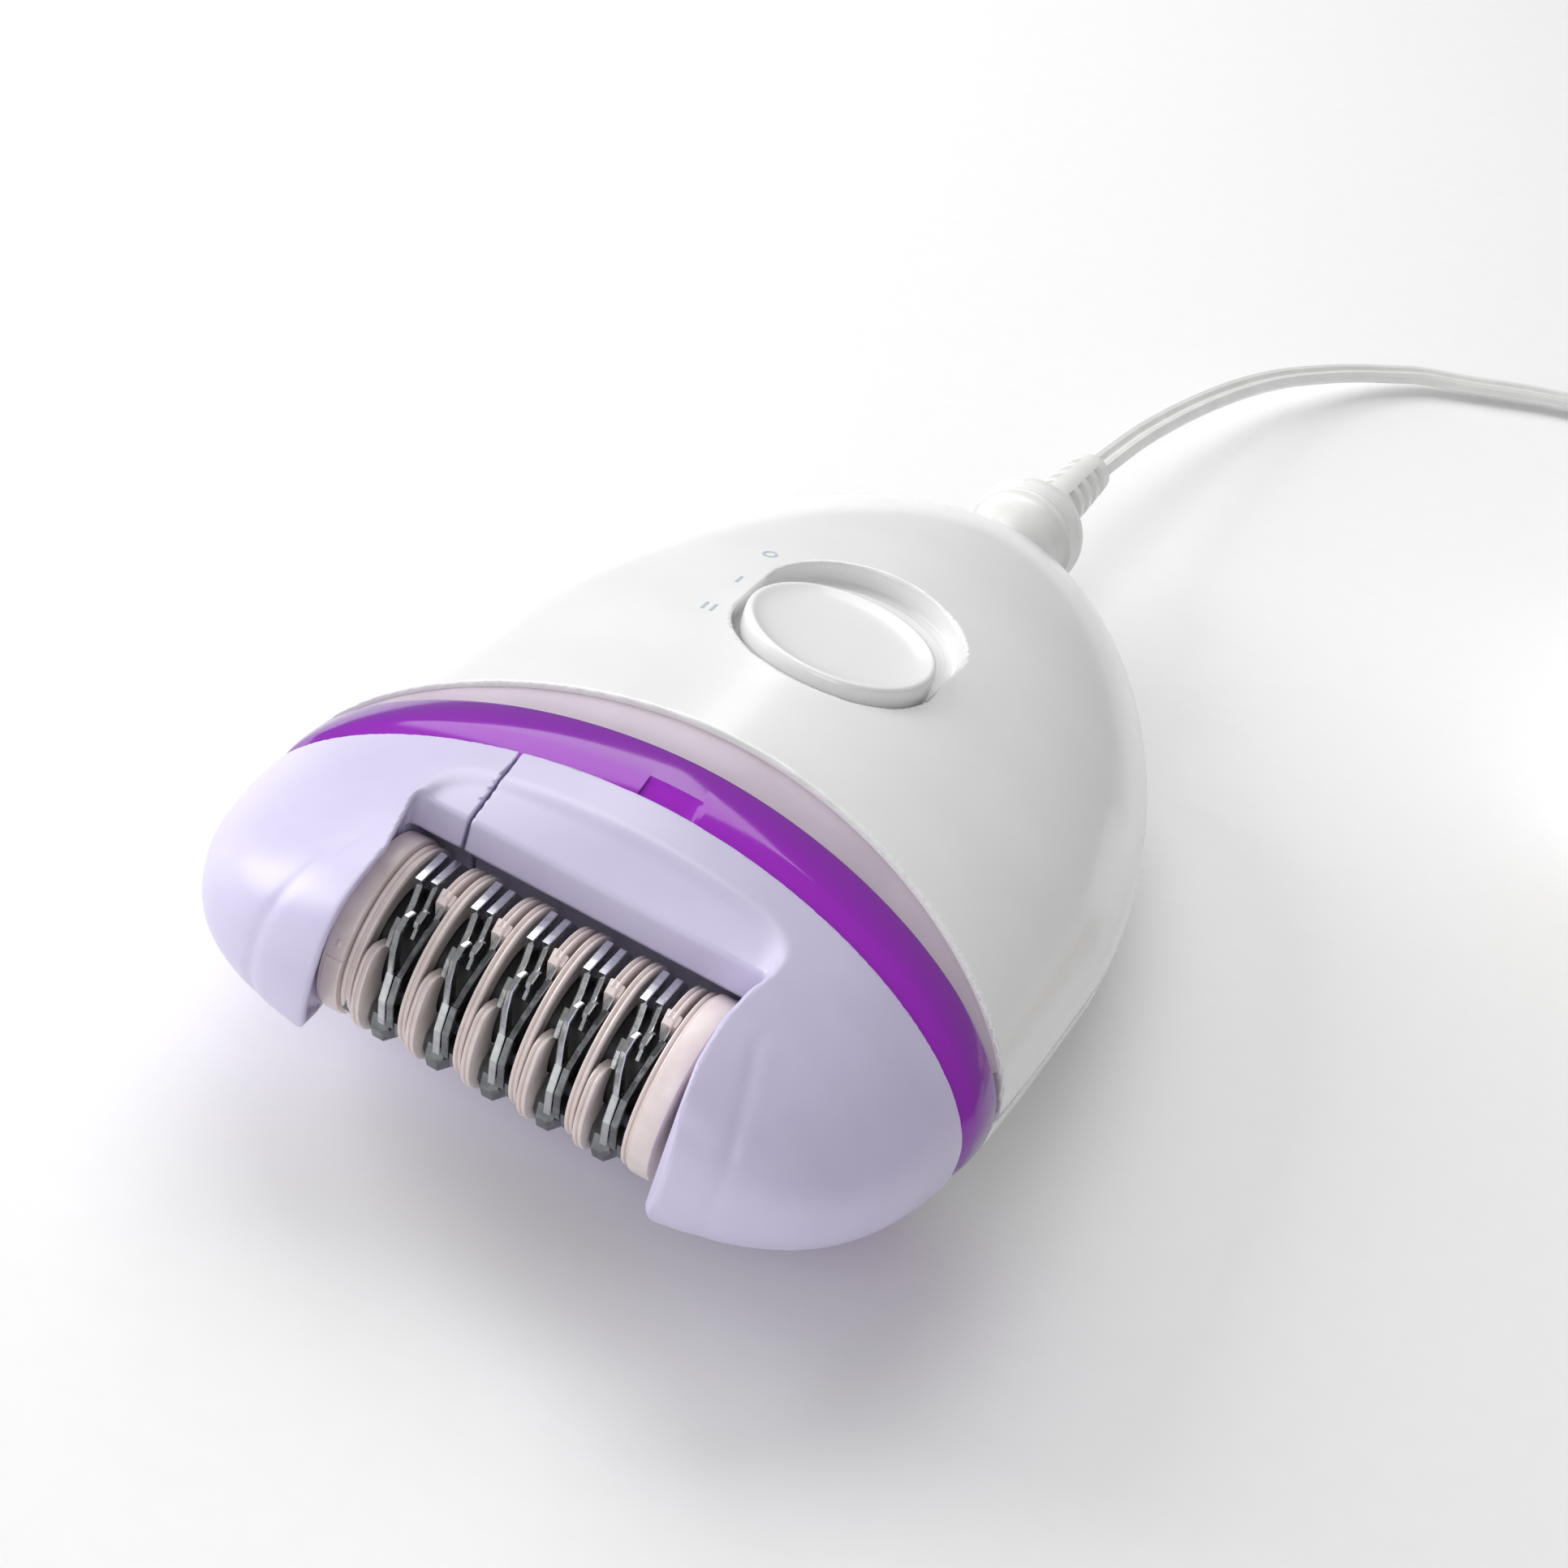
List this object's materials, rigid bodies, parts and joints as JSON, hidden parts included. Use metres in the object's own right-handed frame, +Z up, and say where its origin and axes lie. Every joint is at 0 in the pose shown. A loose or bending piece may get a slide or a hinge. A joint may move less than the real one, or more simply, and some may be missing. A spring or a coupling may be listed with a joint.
{
  "type": "epilator",
  "caption": "Corded epilator: rounded hand-held housing with a sliding switch, a detachable head with a rotating tweezer cylinder, and a plug-in supply lead with adapter.",
  "frame": {"origin": "middle of the footprint at the resting face of the rear housing, supply lead not counted", "axes": "+Z up out of the switch face, -Y towards the tweezer head, +Y towards the supply lead, +X along the tweezer cylinder; the epilator lies on its back"},
  "size_m": [0.1465, 0.256, 0.0314],
  "materials": {
    "white_shell": "glossy white moulded ABS",
    "mauve_collar": "satin mauve-grey moulded plastic",
    "purple_ring": "high-gloss purple moulded plastic",
    "lavender_head": "satin lavender moulded ABS",
    "steel_parts": "plain steel",
    "brass_parts": "plated brass",
    "circuit_board": "glass-fibre circuit board",
    "dark_plastic": "black moulded plastic",
    "gear_plastic": "natural acetal",
    "beige_discs": "pinkish beige moulded plastic",
    "tweezer_steel": "polished spring steel",
    "white_lead": "soft white PVC"
  },
  "bodies": {
    "handle": {"front_housing": "white_shell", "rear_housing": "white_shell", "neck_band": "mauve_collar", "accent_ring": "purple_ring", "switch_bed": "white_shell", "motor_can": "steel_parts", "motor_cradle": "dark_plastic", "circuit_board": "circuit_board", "switch_contacts": "brass_parts", "detent_spring": "steel_parts", "power_socket": "dark_plastic", "gear_frame": "dark_plastic", "compound_gear_pin": "steel_parts", "drive_gear_pin": "steel_parts", "housing_screw_1": "steel_parts", "housing_screw_2": "steel_parts", "housing_screw_3": "steel_parts"},
    "switch": {"switch_button": "white_shell", "switch_slider": "dark_plastic"},
    "motor_rotor": {"motor_shaft": "steel_parts", "motor_pinion": "brass_parts"},
    "middle_gear": {"compound_gear": "gear_plastic"},
    "output_gear": {"drive_gear": "gear_plastic"},
    "head": {"head_left_shell": "lavender_head", "head_right_shell": "lavender_head", "barrel_axle": "steel_parts", "latch_hook_left": "dark_plastic", "latch_hook_right": "dark_plastic"},
    "cylinder": {"barrel_core": "dark_plastic", "barrel_gear": "gear_plastic", "end_ring_left": "beige_discs", "end_ring_right": "beige_discs", "fixed_tweezer_1": "tweezer_steel", "moving_tweezer_1": "tweezer_steel", "arc_disc_1": "beige_discs", "full_disc_1": "beige_discs", "fixed_tweezer_2": "tweezer_steel", "moving_tweezer_2": "tweezer_steel", "arc_disc_2": "beige_discs", "full_disc_2": "beige_discs", "fixed_tweezer_3": "tweezer_steel", "moving_tweezer_3": "tweezer_steel", "arc_disc_3": "beige_discs", "full_disc_3": "beige_discs", "fixed_tweezer_4": "tweezer_steel", "moving_tweezer_4": "tweezer_steel", "arc_disc_4": "beige_discs", "full_disc_4": "beige_discs", "fixed_tweezer_5": "tweezer_steel", "moving_tweezer_5": "tweezer_steel", "arc_disc_5": "beige_discs", "full_disc_5": "beige_discs"},
    "lead": {"lead_plug": "white_lead", "strain_relief_boot": "white_lead", "supply_cord": "white_lead", "cord_coil": "white_lead", "cord_tie": "dark_plastic", "wall_adapter": "white_lead", "adapter_pin_1": "brass_parts", "adapter_pin_2": "brass_parts"}
  },
  "joints": [
    {"name": "switch_slide", "type": "slide", "parent": "handle", "child": "switch", "axis": [0, 0.9986, -0.0523], "range_m": [0, 0.007]},
    {"name": "head_release", "type": "slide", "parent": "handle", "child": "head", "axis": [0, -1, 0], "range_m": [0, 0.045]},
    {"name": "cylinder_spin", "type": "hinge", "parent": "head", "child": "cylinder", "pos_m": [0, -0.0434, 0.0172], "axis": [1, 0, 0], "continuous": true},
    {"name": "drive_gear_spin", "type": "hinge", "parent": "handle", "child": "output_gear", "pos_m": [0, -0.03083, 0.0164], "axis": [1, 0, 0], "continuous": true},
    {"name": "middle_gear_spin", "type": "hinge", "parent": "handle", "child": "middle_gear", "pos_m": [0, -0.02003, 0.0164], "axis": [1, 0, 0], "continuous": true},
    {"name": "motor_spin", "type": "hinge", "parent": "handle", "child": "motor_rotor", "pos_m": [0, -0.00923, 0.0164], "axis": [1, 0, 0], "continuous": true},
    {"name": "plug_pull", "type": "slide", "parent": "handle", "child": "lead", "axis": [0, 0.9976, -0.0698], "range_m": [0, 0.016]}
  ],
  "couplings": [
    {"joint": "drive_gear_spin", "follows": "cylinder_spin", "ratio": -0.75},
    {"joint": "middle_gear_spin", "follows": "cylinder_spin", "ratio": 1.5},
    {"joint": "motor_spin", "follows": "cylinder_spin", "ratio": -3.9}
  ]
}
